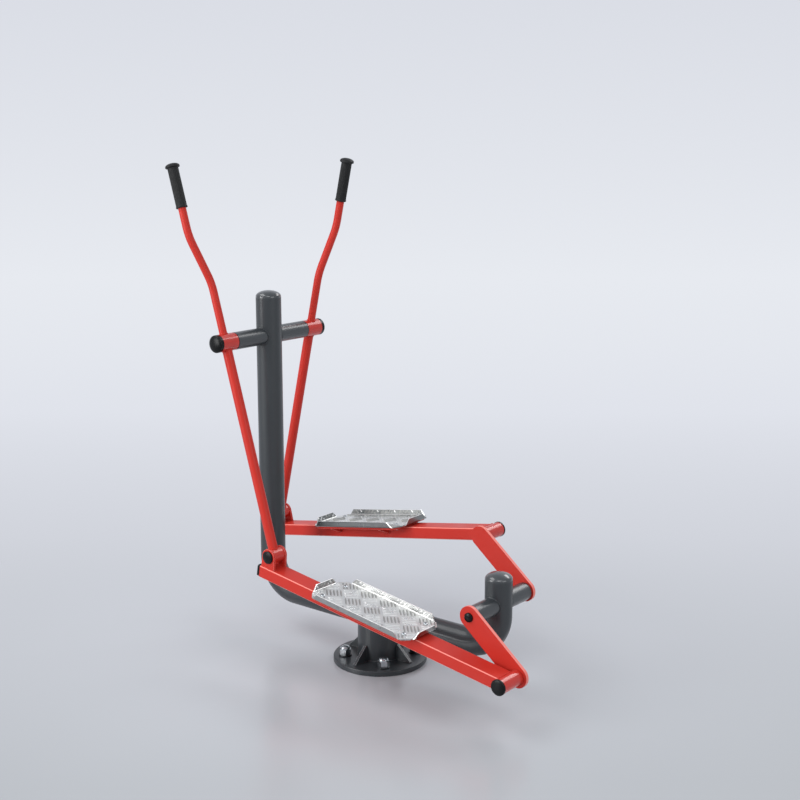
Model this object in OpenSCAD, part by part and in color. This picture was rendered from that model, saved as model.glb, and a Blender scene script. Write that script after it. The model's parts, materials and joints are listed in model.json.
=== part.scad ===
// Outdoor cross trainer: two swinging levers and two pedal beams on a single flanged post.
// The origin is the centre of the base flange's underside. +X runs from the handle column to
// the crank, +Y to the rider's right, +Z up. All lengths are millimetres, all angles degrees.
// Each side is a four-bar linkage: lever on the column, pedal beam, crank on the rear post.

/* [Base] */
// Diameter of the round base flange
flange_d = 320; // [300:5:400]
// Thickness of the base flange
flange_t = 18; // [12:1:25]
// Pitch circle of the four anchor holes
anchor_pcd = 240; // [230:5:260]
// Diameter of the anchor holes
anchor_hole_d = 25; // [22:1:28]
// Outside diameter of the short post on the flange
pedestal_d = 152.4; // [139.7:0.1:159]
// How far the flange ribs reach out from the post
rib_reach = 59; // [45:1:65]
// Height of the flange ribs
rib_h = 53; // [40:1:65]
// Thickness of the flange ribs
rib_t = 10; // [6:1:14]

/* [Main tube] */
// Outside diameter of the main tube
tube_d = 88.9; // [76.1:0.1:101.6]
// Wall of the main tube
tube_wall = 4; // [3:0.5:6]
// Height of the level run's centre line
tube_z = 157; // [130:1:200]
// Centre-line radius of the two elbows
bend_r = 114; // [100:1:140]
// Distance from the base's axis forward to the column's axis
column_x = 500; // [400:10:600]
// Height of the column's domed end over the handles' axis
column_rise = 158; // [110:1:300]
// Distance from the base's axis back to the rear post's axis
post_x = 488; // [400:1:590]
// Height of the rear post's domed end over the crank's axis
post_rise = 104; // [80:1:180]
// Height of the crank's axis over the rear elbow's upper end
crank_neck = 40; // [36:1:80]

/* [Linkage] */
// Height of the handle levers' axis
hub_z = 1075; // [1000:5:1130]
// Distance from a lever's axis to its lower pin
lever_l = 740; // [610:5:890]
// Distance from the lower pin to the crank pin
link_l = 978; // [900:2:1100]
// Crank radius
crank_r = 234; // [190:1:270]
// Angle of the left crank arm at rest, up from straight back
crank_angle = -39.6; // [-180:0.1:180]
// Distance from the middle plane to each lever and beam
lane_y = 212; // [205:1:260]

/* [Handles] */
// Outside diameter of the hub sleeves and of both cross tubes
hub_d = 60.3; // [57:0.1:64]
// Wall of the hub sleeves and of both cross tubes
hub_wall = 4; // [3:0.5:5]
// Length of a hub sleeve
hub_len = 70; // [66:1:100]
// Diameter of the shaft through the hubs, and of the crank's axle
shaft_d = 25; // [20:1:28]
// Outside diameter of the lever tube below the hub
lever_d = 33.7; // [30:0.1:42.4]
// Outside diameter of the handle tube above the hub
handle_d = 27; // [24:0.5:32]
// Straight length of the handle between its upper bend and the grip
handle_neck = 64; // [40:2:120]
// How far the grip stands outside the lever's plane
handle_offset = 54.5; // [45:0.5:80]
// Radius of the two bends in the handle
handle_bend_r = 200; // [120:5:220]
// Angle of each bend in the handle
handle_bend_angle = 18; // [15:1:25]
// Distance from the hub's axis to the top of the grip
grip_top = 622; // [600:2:720]
// Length of the grip
grip_len = 153; // [120:1:170]
// Diameter of the grip's body
grip_d = 37; // [34:0.5:40]

/* [Pedal beams] */
// Width of the beam's section
beam_w = 72; // [70:1:90]
// Height of the beam's section
beam_h = 42; // [36:1:50]
// Wall of the beam
beam_wall = 4; // [3:0.5:5]
// Height of the lower pin over the beam's centre line
pin_drop = 61; // [58:1:80]
// How far the beam reaches ahead of the lower pin
beam_front = 30; // [24:1:60]
// How far each clevis ear stands in from the beam's side
ear_inset = 4.5; // [2:0.5:8]
// Thickness of a clevis ear
ear_t = 8; // [6:1:10]
// Radius of an ear's rounded top
ear_r = 28; // [26:0.5:32]
// Diameter of the clevis pin
clevis_pin_d = 20; // [16:1:22]
// Outside diameter of the sleeve at the lever's foot
foot_d = 51; // [48:0.5:56]
// Outside diameter of the bush at the beam's rear end
bush_d = 48.3; // [46:0.1:54]
// Diameter of the crank pin
crank_pin_d = 17; // [14:1:18]

/* [Foot plates] */
// Length of the plate's floor between its folds
plate_l = 425; // [360:5:460]
// Width of the plate's floor between its folds
plate_w = 194; // [186:1:230]
// Thickness of the chequer plate
plate_t = 4; // [3:0.5:5]
// Distance from the lower pin back to the middle of the plate
plate_x = 445.5; // [400:0.5:500]
// Height of the turned-up lips over the plate's underside
lip_h = 22; // [18:1:30]
// Outward lean of the lips
lip_lean = 10; // [5:1:15]
// Size of the cut corners along the plate
corner_l = 31; // [28:1:45]
// Size of the cut corners across the plate
corner_w = 37; // [28:1:45]
// Distance of the plate's screws from its ends
screw_inset = 42.5; // [36:0.5:60]
// Distance of the plate's screws from the beam's sides
screw_gap = 20; // [14:1:24]
// Distance between the two pairs of gussets
gusset_pitch = 227; // [180:1:260]

/* [Hidden] */
$fn = 64;

left = -1;
right = 1;
grey = [0.26, 0.275, 0.29];
red = [0.80, 0.17, 0.15];
black = [0.06, 0.06, 0.065];
zinc = [0.76, 0.77, 0.78];
steel = [0.60, 0.61, 0.63];
chequer = [0.74, 0.75, 0.76];

// Clearances, and the overrun of every cut
seat = 0.05;
running = 0.05;
weld_seat = 0.15;
overrun = 1;
crown_fn = 240;

// Base values
flange_bevel = 2;
flange_r = flange_d / 2;
pedestal_r = pedestal_d / 2;
pedestal_wall = 6;
pedestal_cap_t = 6;
pedestal_cap_bevel = 1.5;
pedestal_rise = 18;
rib_nose = 3;
rib_land = 4;
washer_over = 19;
washer_d = anchor_hole_d + washer_over;
washer_t = 4;
washer_bore_more = 1.5;
washer_bore_d = anchor_hole_d + washer_bore_more;
nut_over = 11;
nut_af = anchor_hole_d + nut_over;
nut_h = 22;
nut_step = 1.5;
nut_dome_r = nut_af / 2 - nut_step;
nut_dome_rim = 1;
nut_dome_rise = 8;
nut_bore_less = 0.5;
nut_bore_d = anchor_hole_d - nut_bore_less;
hex_share = 1 / cos(30);

// Main tube values
tube_r = tube_d / 2;
cap_rim = 3;
head_share = 0.48;
cap_h = cap_rim + head_share * tube_r;
cap_seat_d = tube_d - 2 * tube_wall - 2 * seat;
cap_spigot = 10;
crank_z = tube_z + bend_r + crank_neck;
column_top = hub_z + column_rise - cap_h;
post_top = crank_z + post_rise - cap_h;
pedestal_top = tube_z + pedestal_rise;

// Shafts, bearings and cross tubes
shaft_r = shaft_d / 2;
hub_r = hub_d / 2;
hub_bore_r = hub_r - hub_wall;
hub_gap = 2.5;
hub_shift = 1.5;
hub_in = hub_len / 2 + hub_shift;
hub_out = hub_len / 2 - hub_shift;
handle_tube_half = lane_y - hub_in - hub_gap;
spindle_plug = 14;
big_bearing_w = 15;
small_bearing_w = 12;
ring_share = 0.3;
shield_depth = 0.8;
bearing_inset = 2;
spindle_nut_h = 12;
spindle_nut_af = shaft_d + nut_over;
spindle_nut_gap = 0.3;
hub_cap_spigot = 3;
spindle_end = hub_out - hub_cap_spigot - spindle_nut_gap;
outer_bearing_y = spindle_end - spindle_nut_h - spindle_nut_gap - big_bearing_w;
hub_cap_rim = 11;
hub_cap_rise = 10;
hub_cap_wall = 3;

// Crank
arm_t = 12;
arm_r = 35;
beam_arm_gap = 16;
arm_out = lane_y - beam_w / 2 - beam_arm_gap;
arm_in = arm_out - arm_t;
crank_tube_gap = 3.5;
crank_tube_half = arm_in - crank_tube_gap;
collar_over = 11;
collar_gap = 1;
axle_cap_over = 5;
axle_cap_rim = 4;
axle_cap_rise = 5;
crank_pin_r = crank_pin_d / 2;
pin_root = 8;
open_gap = 0.4;

// Levers
lever_wall = 3.2;
handle_wall = 3;
foot_r = foot_d / 2;
foot_wall = 4.5;
foot_bore_r = foot_r - foot_wall;
foot_gap = 0.5;
clevis_half = beam_w / 2 - ear_inset;
foot_half = clevis_half - ear_t - foot_gap;
handle_leg = (handle_offset - 2 * handle_bend_r * (1 - cos(handle_bend_angle))) / sin(handle_bend_angle);
handle_bend_end = grip_top - grip_len - handle_neck;
handle_bend_start = handle_bend_end - 2 * handle_bend_r * sin(handle_bend_angle)
    - handle_leg * cos(handle_bend_angle);
handle_r = handle_d / 2;
grip_roof = 14;
handle_end = grip_top - grip_roof;
grip_r = grip_d / 2;
grip_flange_over = 6;
grip_flange_r = grip_r + grip_flange_over;
grip_flange_h = 15;
grip_crown = 10;
grip_ring_over = 1.25;
grip_ring_r = grip_r + grip_ring_over;
grip_ring_h = 6;
grip_edge = 2;

// Beams
clevis_pin_r = clevis_pin_d / 2;
beam_corner = 5;
beam_inner_corner = 2;
plug_t = 11;
plug_depth = 14;
plug_edge = 1;
ear_flare = 3;
pin_stand = 3.5;
clevis_clip_over = 4;
clevis_clip_r = clevis_pin_r + clevis_clip_over;
clip_t = 1.5;
clevis_cap_margin = 6.5;
clevis_cap_rim = 4.5;
clevis_cap_rise = 4;
clevis_cap_room = 2;
beam_len = sqrt(link_l * link_l - pin_drop * pin_drop);
beam_top = -pin_drop + beam_h / 2;

// Rear bush
bush_r = bush_d / 2;
bush_wall = 4;
bush_bore_r = bush_r - bush_wall;
bush_gap = 3;
bush_in = arm_out + bush_gap - lane_y;
bush_proud = 8;
bush_out = beam_w / 2 + bush_proud;
bush_cap_over = 1.3;
bush_cap_rim = 4;
bush_cap_rise = 6;
bush_cap_spigot = 4;
pin_shoulder_over = 5.5;
pin_shoulder_r = crank_pin_r + pin_shoulder_over;
pin_shoulder_t = 2;

// Foot plates
carrier_t = 8;
carrier_margin_l = 22.5;
carrier_margin_w = 9;
carrier_l = plate_l - 2 * carrier_margin_l;
carrier_w = plate_w - 2 * carrier_margin_w;
carrier_corner = 20;
screw_l = plate_l - 2 * screw_inset;
screw_w = beam_w + 2 * screw_gap;
gusset_t = 5;
gusset_reach = (carrier_w - beam_w) / 2;
gusset_h = 25;
gusset_nose = 2;
plate_bottom = beam_top + carrier_t;
fold_r = 3;
lip_run = 25;
lip_steps = 8;
screw_d = 8;
screw_hole_d = 9;
screw_head_d = 15;
screw_head_rim = 1.5;
screw_head_rise = 3;
screw_point = 6;

// Linkage at rest: the lower pin lies on a circle round each axis
hub_axis = [-column_x, hub_z];
crank_axis = [post_x, crank_z];
function arm_angle(side) = side == left ? crank_angle : crank_angle + 180;
function rear_pin(side) = crank_axis + crank_r * [cos(arm_angle(side)), sin(arm_angle(side))];
function lower_pin(side) =
    let (
        rear = rear_pin(side),
        span = norm(hub_axis - rear),
        along = (hub_axis - rear) / span,
        down = [-along[1], along[0]],
        foot = (link_l * link_l - lever_l * lever_l + span * span) / (2 * span)
    )
    rear + foot * along + sqrt(link_l * link_l - foot * foot) * down;
function lever_angle(side) =
    let (p = lower_pin(side)) atan2(p[0] - hub_axis[0], hub_axis[1] - p[1]);
function beam_pitch(side) =
    let (v = rear_pin(side) - lower_pin(side)) atan2(v[1], v[0]) + asin(pin_drop / link_l);

// Turns a piece drawn along +Z so that it runs along +Y, from y
module along_y(y = 0) translate([0, y, 0]) rotate([-90, 0, 0]) children();

// Turns a piece drawn along +Z so that it runs along +X, from x
module along_x(x = 0) translate([x, 0, 0]) rotate([0, 90, 0]) children();

// The right side as drawn, the left side as its mirror image
module on_side(side) {
    if (side == right) children();
    else mirror([0, 1, 0]) children();
}

// A lever's own frame: origin on the hub's axis in the lever's plane, +Z up along it, +Y outward
module on_lever(side) on_side(side)
    translate([hub_axis[0], lane_y, hub_axis[1]]) rotate([0, -lever_angle(side), 0]) children();

// A beam's own frame: origin on the lower pin, +X back along the beam, +Y outward
module on_beam(side) on_side(side)
    translate([lower_pin(side)[0], lane_y, lower_pin(side)[1]])
    rotate([0, -beam_pitch(side), 0]) children();

// The crank arm's own frame: origin on the crank's axis, +X along the arm
module on_arm(side) on_side(side)
    translate([crank_axis[0], 0, crank_axis[1]]) rotate([0, -arm_angle(side), 0]) children();

module ring_profile(r, wall) difference() {
    circle(r);
    circle(r - wall);
}

module tube(r, wall, length) linear_extrude(length) ring_profile(r, wall);

module bend(r, wall, radius, angle) rotate_extrude(angle = angle)
    translate([radius, 0]) ring_profile(r, wall);

// Flat disc with a spherical crown: rim is its straight height, rise the crown's
module dome(r, rim, rise) {
    crown_r = (r * r + rise * rise) / (2 * rise);
    rotate_extrude() intersection() {
        square([r, rim + rise]);
        translate([0, rim + rise - crown_r]) circle(crown_r, $fn = crown_fn);
    }
}

// Round cap with an elliptical head on a straight rim
module head(r, rim, rise) rotate_extrude() {
    square([r, rim]);
    translate([0, rim]) intersection() {
        scale([1, rise / r]) circle(r, $fn = crown_fn);
        square([r, rise]);
    }
}

// A shielded ball bearing: two rings with a recessed shield between them on each side
module bearing(outer_r, inner_r, w) {
    ring = (outer_r - inner_r) * ring_share;
    rotate_extrude() difference() {
        translate([inner_r, 0]) square([outer_r - inner_r, w]);
        for (z = [-overrun, w - shield_depth])
            translate([inner_r + ring, z])
                square([outer_r - inner_r - 2 * ring, shield_depth + overrun]);
    }
}

module hexagon(across_flats, h) cylinder(d = across_flats * hex_share, h = h, $fn = 6);

module rounded_rect(l, w, r) {
    square([l - 2 * r, w], center = true);
    square([l, w - 2 * r], center = true);
    for (x = [-1, 1], y = [-1, 1]) translate([x * (l / 2 - r), y * (w / 2 - r)]) circle(r);
}

module at_anchors() for (a = [45 : 90 : 315]) rotate(a) translate([anchor_pcd / 2, 0, 0]) children();

// Base

module base_flange() color(grey) difference() {
    rotate_extrude() polygon([
        [0, 0], [flange_r, 0], [flange_r, flange_t - flange_bevel],
        [flange_r - flange_bevel, flange_t], [0, flange_t],
    ]);
    at_anchors() translate([0, 0, -overrun])
        cylinder(d = anchor_hole_d, h = flange_t + 2 * overrun);
}

module flange_ribs() color(grey) for (a = [0 : 90 : 270])
    rotate(a) translate([pedestal_r + weld_seat, rib_t / 2, flange_t]) rotate([90, 0, 0])
    linear_extrude(rib_t) polygon([
        [0, 0], [rib_reach, 0], [rib_reach, rib_nose], [rib_land, rib_h], [0, rib_h],
    ]);

module main_tube_cut() translate([0, 0, tube_z])
    along_x(-column_x) cylinder(r = tube_r + weld_seat, h = column_x + post_x);

module pedestal_tube() color(grey) difference() {
    translate([0, 0, flange_t]) tube(pedestal_r, pedestal_wall, pedestal_top - flange_t);
    main_tube_cut();
}

// The post's end plate, in two parts beside the main tube
module pedestal_cap() color(grey) difference() {
    translate([0, 0, pedestal_top]) rotate_extrude() polygon([
        [0, 0], [pedestal_r, 0], [pedestal_r, pedestal_cap_t - pedestal_cap_bevel],
        [pedestal_r - pedestal_cap_bevel, pedestal_cap_t], [0, pedestal_cap_t],
    ]);
    main_tube_cut();
}

module anchor_washers() color(zinc) at_anchors() translate([0, 0, flange_t])
    tube(washer_d / 2, (washer_d - washer_bore_d) / 2, washer_t);

module anchor_nuts() color(zinc) at_anchors() translate([0, 0, flange_t + washer_t]) difference() {
    union() {
        hexagon(nut_af, nut_h);
        translate([0, 0, nut_h]) head(nut_dome_r, nut_dome_rim, nut_dome_rise);
    }
    translate([0, 0, -overrun]) cylinder(d = nut_bore_d, h = nut_h + overrun);
}

// Main tube

module bottom_tube() color(grey) translate([0, 0, tube_z])
    along_x(-column_x + bend_r) tube(tube_r, tube_wall, column_x + post_x - 2 * bend_r);

module tube_elbows() color(grey) {
    for (e = [[-column_x + bend_r, 180], [post_x - bend_r, 270]])
        translate([e[0], 0, tube_z + bend_r]) rotate([90, 0, 0]) rotate(e[1])
            bend(tube_r, tube_wall, bend_r, 90);
}

module upright(x, top, axle_z) difference() {
    translate([x, 0, tube_z + bend_r]) tube(tube_r, tube_wall, top - tube_z - bend_r);
    translate([x, 0, axle_z]) along_y(-tube_d) cylinder(r = hub_r + weld_seat, h = 2 * tube_d);
}

module column_tube() color(grey) upright(-column_x, column_top, hub_z);

module rear_post() color(grey) upright(post_x, post_top, crank_z);

// Welded domed cap with a spigot in the tube
module tube_cap() {
    head(tube_r, cap_rim, head_share * tube_r);
    translate([0, 0, -cap_spigot]) cylinder(d = cap_seat_d, h = cap_spigot);
}

module tube_caps() color(grey) {
    translate([-column_x, 0, column_top]) tube_cap();
    translate([post_x, 0, post_top]) tube_cap();
}

// Cross tubes, shafts and their bearings

// The tube welded through the column, with a thick ring in each end for the spindle
module handle_axle_tube() color(grey) translate([-column_x, 0, hub_z]) along_y(-handle_tube_half)
    rotate_extrude() difference() {
        square([hub_r, 2 * handle_tube_half]);
        translate([0, -overrun]) square([shaft_r + seat, 2 * handle_tube_half + 2 * overrun]);
        translate([0, spindle_plug]) square([hub_bore_r, 2 * handle_tube_half - 2 * spindle_plug]);
    }

module handle_spindle() color(steel) translate([-column_x, 0, hub_z])
    along_y(-lane_y - spindle_end) cylinder(r = shaft_r, h = 2 * (lane_y + spindle_end));

module spindle_nuts() color(zinc) for (side = [left, right]) on_side(side)
    translate([-column_x, lane_y + outer_bearing_y + big_bearing_w + spindle_nut_gap, hub_z])
    along_y() difference() {
        hexagon(spindle_nut_af, spindle_nut_h);
        translate([0, 0, -overrun]) cylinder(r = shaft_r + seat, h = spindle_nut_h + 2 * overrun);
    }

module crank_axle_tube() color(grey) translate([post_x, 0, crank_z])
    along_y(-crank_tube_half) tube(hub_r, hub_wall, 2 * crank_tube_half);

module crank_bearings() color(steel) for (side = [left, right]) on_side(side)
    translate([post_x, crank_tube_half - bearing_inset - big_bearing_w, crank_z])
    along_y() bearing(hub_bore_r - seat, shaft_r + running, big_bearing_w);

// Levers

module hub_sleeve(side) color(red) on_lever(side) along_y(-hub_in)
    tube(hub_r, hub_wall, hub_len);

module hub_bearings(side) color(steel) on_lever(side)
    for (y = [-hub_in + bearing_inset, outer_bearing_y])
        along_y(y) bearing(hub_bore_r - seat, shaft_r + running, big_bearing_w);

module hub_cap(side) color(black) on_lever(side) along_y(hub_out) {
    difference() {
        head(hub_r, hub_cap_rim, hub_cap_rise);
        translate([0, 0, -overrun])
            cylinder(r = hub_bore_r - hub_cap_wall, h = hub_cap_rim + overrun);
    }
    translate([0, 0, -hub_cap_spigot]) tube(hub_bore_r - seat, hub_cap_wall, hub_cap_spigot);
}

// The straight tube from the hub down to the foot sleeve, coped at both ends
module lever_tube(side) color(red) on_lever(side) difference() {
    translate([0, 0, -lever_l]) tube(lever_d / 2, lever_wall, lever_l);
    along_y(-hub_d) cylinder(r = hub_r + weld_seat, h = 2 * hub_d);
    translate([0, 0, -lever_l]) along_y(-foot_d) cylinder(r = foot_r + weld_seat, h = 2 * foot_d);
}

// The handle rises straight, bends outward and back again, and runs on up into the grip
module handle_tube(side) color(red) on_lever(side) difference() {
    union() {
        tube(handle_r, handle_wall, handle_bend_start - seat);
        translate([0, handle_bend_r, handle_bend_start]) rotate([90, 0, -90])
            bend(handle_r, handle_wall, handle_bend_r, handle_bend_angle);
        translate([0, handle_bend_r * (1 - cos(handle_bend_angle)),
                handle_bend_start + handle_bend_r * sin(handle_bend_angle)])
            rotate([-handle_bend_angle, 0, 0]) translate([0, 0, seat])
            tube(handle_r, handle_wall, handle_leg - 2 * seat);
        translate([0, handle_offset - handle_bend_r, handle_bend_end])
            rotate([90, 0, 90]) rotate(-handle_bend_angle)
            bend(handle_r, handle_wall, handle_bend_r, handle_bend_angle);
        translate([0, handle_offset, handle_bend_end + seat])
            tube(handle_r, handle_wall, handle_end - handle_bend_end - seat);
    }
    along_y(-hub_d) cylinder(r = hub_r + weld_seat, h = 2 * hub_d);
}

module grip(side) color(black) on_lever(side)
    translate([0, handle_offset, grip_top - grip_len]) difference() {
        union() {
            rotate_extrude() {
                square([grip_ring_r - grip_edge, grip_ring_h]);
                translate([0, grip_edge]) square([grip_ring_r, grip_ring_h - 2 * grip_edge]);
                for (z = [grip_edge, grip_ring_h - grip_edge])
                    translate([grip_ring_r - grip_edge, z]) circle(grip_edge);
                square([grip_r, grip_len - grip_flange_h]);
                translate([0, grip_len - grip_flange_h]) square([grip_flange_r - grip_edge, grip_edge]);
                translate([grip_flange_r - grip_edge, grip_len - grip_flange_h + grip_edge])
                    circle(grip_edge);
            }
            translate([0, 0, grip_len - grip_flange_h + grip_edge])
                head(grip_flange_r, grip_flange_h - grip_edge - grip_crown, grip_crown);
        }
        translate([0, 0, -overrun]) cylinder(r = handle_r + seat, h = grip_len - grip_roof + overrun);
    }

module foot_sleeve(side) color(red) on_lever(side) translate([0, 0, -lever_l])
    along_y(-foot_half) tube(foot_r, foot_wall, 2 * foot_half);

module foot_bearings(side) color(steel) on_lever(side) translate([0, 0, -lever_l])
    for (y = [-foot_half + bearing_inset, foot_half - bearing_inset - small_bearing_w])
        along_y(y) bearing(foot_bore_r - seat, clevis_pin_r + running, small_bearing_w);

// Pedal beams

module beam_section() difference() {
    rounded_rect(beam_h, beam_w, beam_corner);
    rounded_rect(beam_h - 2 * beam_wall, beam_w - 2 * beam_wall, beam_inner_corner);
}

module pedal_beam(side) color(red) on_beam(side) difference() {
    translate([0, 0, -pin_drop]) along_x(-beam_front)
        linear_extrude(beam_front + beam_len) beam_section();
    translate([beam_len, 0, -pin_drop]) along_y(-beam_w) cylinder(r = bush_r + weld_seat, h = 2 * beam_w);
}

module beam_end_plug(side) color(black) on_beam(side) translate([0, 0, -pin_drop]) {
    along_x(-beam_front - plug_t)
        linear_extrude(plug_t) rounded_rect(beam_h - 2 * plug_edge, beam_w - 2 * plug_edge, beam_corner);
    along_x(-beam_front) linear_extrude(plug_depth)
        rounded_rect(beam_h - 2 * beam_wall - 2 * plug_edge, beam_w - 2 * beam_wall - 2 * plug_edge,
            plug_edge);
}

module ear_profile() difference() {
    union() {
        circle(ear_r);
        polygon([[-ear_r, 0], [ear_r, 0], [ear_r + ear_flare, beam_top], [-ear_r, beam_top]]);
    }
    circle(clevis_pin_r + seat);
}

module clevis_ears(side) color(red) on_beam(side)
    for (y = [-clevis_half + ear_t, clevis_half])
        translate([0, y, 0]) rotate([90, 0, 0]) linear_extrude(ear_t) ear_profile();

module clevis_pin(side) color(steel) on_beam(side) {
    along_y(-clevis_half - pin_stand)
        cylinder(r = clevis_pin_r, h = 2 * (clevis_half + pin_stand));
    for (y = [-clevis_half - clip_t, clevis_half])
        along_y(y) tube(clevis_clip_r, clevis_clip_over - seat, clip_t);
}

module clevis_caps(side) color(black) on_beam(side) for (s = [left, right]) on_side(s)
    along_y(clevis_half) difference() {
        dome(ear_r - clevis_cap_margin, clevis_cap_rim, clevis_cap_rise);
        translate([0, 0, -overrun])
            cylinder(r = clevis_clip_r + clevis_cap_room, h = clevis_cap_rim + overrun);
    }

// Foot plates

module at_screws() for (x = [-1, 1], y = [-1, 1])
    translate([plate_x + x * screw_l / 2, y * screw_w / 2, 0]) children();

// A steel plate on the beam with two pairs of gussets under its wings
module plate_carrier(side) color(red) on_beam(side) {
    difference() {
        translate([plate_x, 0, beam_top]) linear_extrude(carrier_t)
            rounded_rect(carrier_l, carrier_w, carrier_corner);
        at_screws() translate([0, 0, beam_top - overrun])
            cylinder(d = screw_d + 2 * seat, h = carrier_t + 2 * overrun);
    }
    for (x = [-1, 1], s = [left, right]) on_side(s)
        translate([plate_x + x * gusset_pitch / 2 - gusset_t / 2, beam_w / 2 + weld_seat, beam_top])
        rotate([90, 0, 90]) linear_extrude(gusset_t) polygon([
            [0, 0], [gusset_reach - weld_seat, 0], [gusset_reach - weld_seat, -gusset_nose],
            [0, -gusset_h],
        ]);
}

// The lip's section: a bend and a straight leg that leans outward. Its underside and outer
// face, if extended, meet at the origin.
fold_turn = 90 - lip_lean;
fold_out = fold_r + plate_t;
fold_back = fold_out * tan(fold_turn / 2);
function fold_arc(r) = [for (i = [0 : lip_steps])
    let (a = fold_turn * i / lip_steps) [r * sin(a) - fold_back, fold_out - r * cos(a)]];
function reversed(list) = [for (i = [len(list) - 1 : -1 : 0]) list[i]];
function on_leg(p, z) = p + (z - p[1]) / cos(lip_lean) * [sin(lip_lean), cos(lip_lean)];
lip_outer = fold_arc(fold_out);
lip_inner = fold_arc(fold_r);
lip_section = concat(
    lip_outer, [on_leg(lip_outer[lip_steps], lip_h), on_leg(lip_inner[lip_steps], lip_h)],
    reversed(lip_inner)
);

// The lip seen from the side: its ends fall in an S from the full height to the floor
function s_share(i) = (1 - cos(180 * i / lip_steps)) / 2;
function lip_end(x, dir) = [for (i = [0 : lip_steps])
    [x - dir * lip_run * i / lip_steps, (lip_h + overrun) * s_share(i)]];
function lip_outline(half) = concat(
    [[half, -overrun]], lip_end(half, 1), reversed(lip_end(-half, -1)), [[-half, -overrun]]
);

// One lip along X, its fold at y
module lip(half, y) translate([0, y, 0]) intersection() {
    along_x(-half) rotate(90) linear_extrude(2 * half) polygon(lip_section);
    translate([0, lip_h + fold_out, 0]) rotate([90, 0, 0])
        linear_extrude(2 * (lip_h + fold_out)) polygon(lip_outline(half));
}

// The floor: a rectangle with cut corners, which ends where the folds begin
module plate_floor() intersection() {
    polygon([for (sx = [1, -1]) each [
        for (p = [[plate_l / 2 - corner_l, plate_w / 2], [plate_l / 2, plate_w / 2 - corner_w],
                [plate_l / 2, -plate_w / 2 + corner_w], [plate_l / 2 - corner_l, -plate_w / 2]])
            [sx * p[0], sx * p[1]]
    ]]);
    square([plate_l - 2 * fold_back, plate_w - 2 * fold_back], center = true);
}

module foot_plate(side) color(chequer) on_beam(side) difference() {
    translate([plate_x, 0, plate_bottom]) {
        linear_extrude(plate_t) plate_floor();
        for (turn = [0, 180]) rotate(turn) {
            lip(plate_l / 2 - corner_l, plate_w / 2);
            rotate(90) lip(plate_w / 2 - corner_w, plate_l / 2);
        }
    }
    at_screws() translate([0, 0, plate_bottom - overrun])
        cylinder(d = screw_hole_d, h = plate_t + 2 * overrun);
}

module plate_screws(side) color(zinc) on_beam(side) at_screws() {
    translate([0, 0, plate_bottom + plate_t]) dome(screw_head_d / 2, screw_head_rim, screw_head_rise);
    translate([0, 0, beam_top - screw_point])
        cylinder(d = screw_d, h = carrier_t + plate_t + screw_point);
}

// Rear bush and crank pin

module at_bush() translate([beam_len, 0, -pin_drop]) children();

module rear_bush(side) color(red) on_beam(side) at_bush()
    along_y(bush_in) tube(bush_r, bush_wall, bush_out - bush_in);

module rear_bearings(side) color(steel) on_beam(side) at_bush()
    for (y = [bush_in + bearing_inset,
            bush_out - bush_cap_spigot - bearing_inset - clip_t - small_bearing_w])
        along_y(y) bearing(bush_bore_r - seat, crank_pin_r + running, small_bearing_w);

// The pin stands in the bush's bearings and stops just short of the crank arm
module crank_pin(side) color(steel) on_beam(side) at_bush() {
    along_y(arm_out + open_gap - lane_y) {
        cylinder(r = crank_pin_r, h = bush_out - bush_cap_spigot - (arm_out + open_gap - lane_y));
        cylinder(r = pin_shoulder_r, h = pin_shoulder_t);
    }
    along_y(bush_out - bush_cap_spigot - bearing_inset - clip_t + seat)
        tube(pin_shoulder_r, pin_shoulder_over - seat, clip_t);
}

module rear_bush_cap(side) color(black) on_beam(side) at_bush() along_y(bush_out) {
    difference() {
        head(bush_r + bush_cap_over, bush_cap_rim, bush_cap_rise);
        translate([0, 0, -overrun])
            cylinder(r = bush_bore_r - hub_cap_wall, h = bush_cap_rim + overrun);
    }
    translate([0, 0, -bush_cap_spigot]) tube(bush_bore_r - seat, hub_cap_wall, bush_cap_spigot);
}

// Crank

module crank_axle() color(steel) translate([crank_axis[0], 0, crank_axis[1]]) {
    along_y(-arm_out) cylinder(r = shaft_r, h = 2 * arm_out);
    for (side = [left, right]) on_side(side) along_y(crank_tube_half + collar_gap)
        cylinder(d = shaft_d + collar_over, h = crank_tube_gap - collar_gap - weld_seat);
}

module crank_arms() color(red) for (side = [left, right]) on_arm(side)
    translate([0, arm_out, 0]) rotate([90, 0, 0]) difference() {
        linear_extrude(arm_t) difference() {
            union() {
                circle(arm_r);
                translate([crank_r, 0]) circle(arm_r);
                translate([0, -arm_r]) square([crank_r, 2 * arm_r]);
            }
            circle(shaft_r + seat);
        }
        translate([crank_r, 0, -overrun])
            cylinder(r = crank_pin_r + seat, h = pin_root + seat + overrun);
    }

module crank_axle_caps() color(black) for (side = [left, right]) on_arm(side)
    along_y(arm_out) head((shaft_d + axle_cap_over) / 2, axle_cap_rim, axle_cap_rise);

// The crank pins' roots, pressed into blind holes in the arms
module crank_pin_roots() color(steel) for (side = [left, right]) on_arm(side)
    translate([crank_r, 0, 0]) along_y(arm_out - pin_root) cylinder(r = crank_pin_r, h = pin_root);

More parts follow.
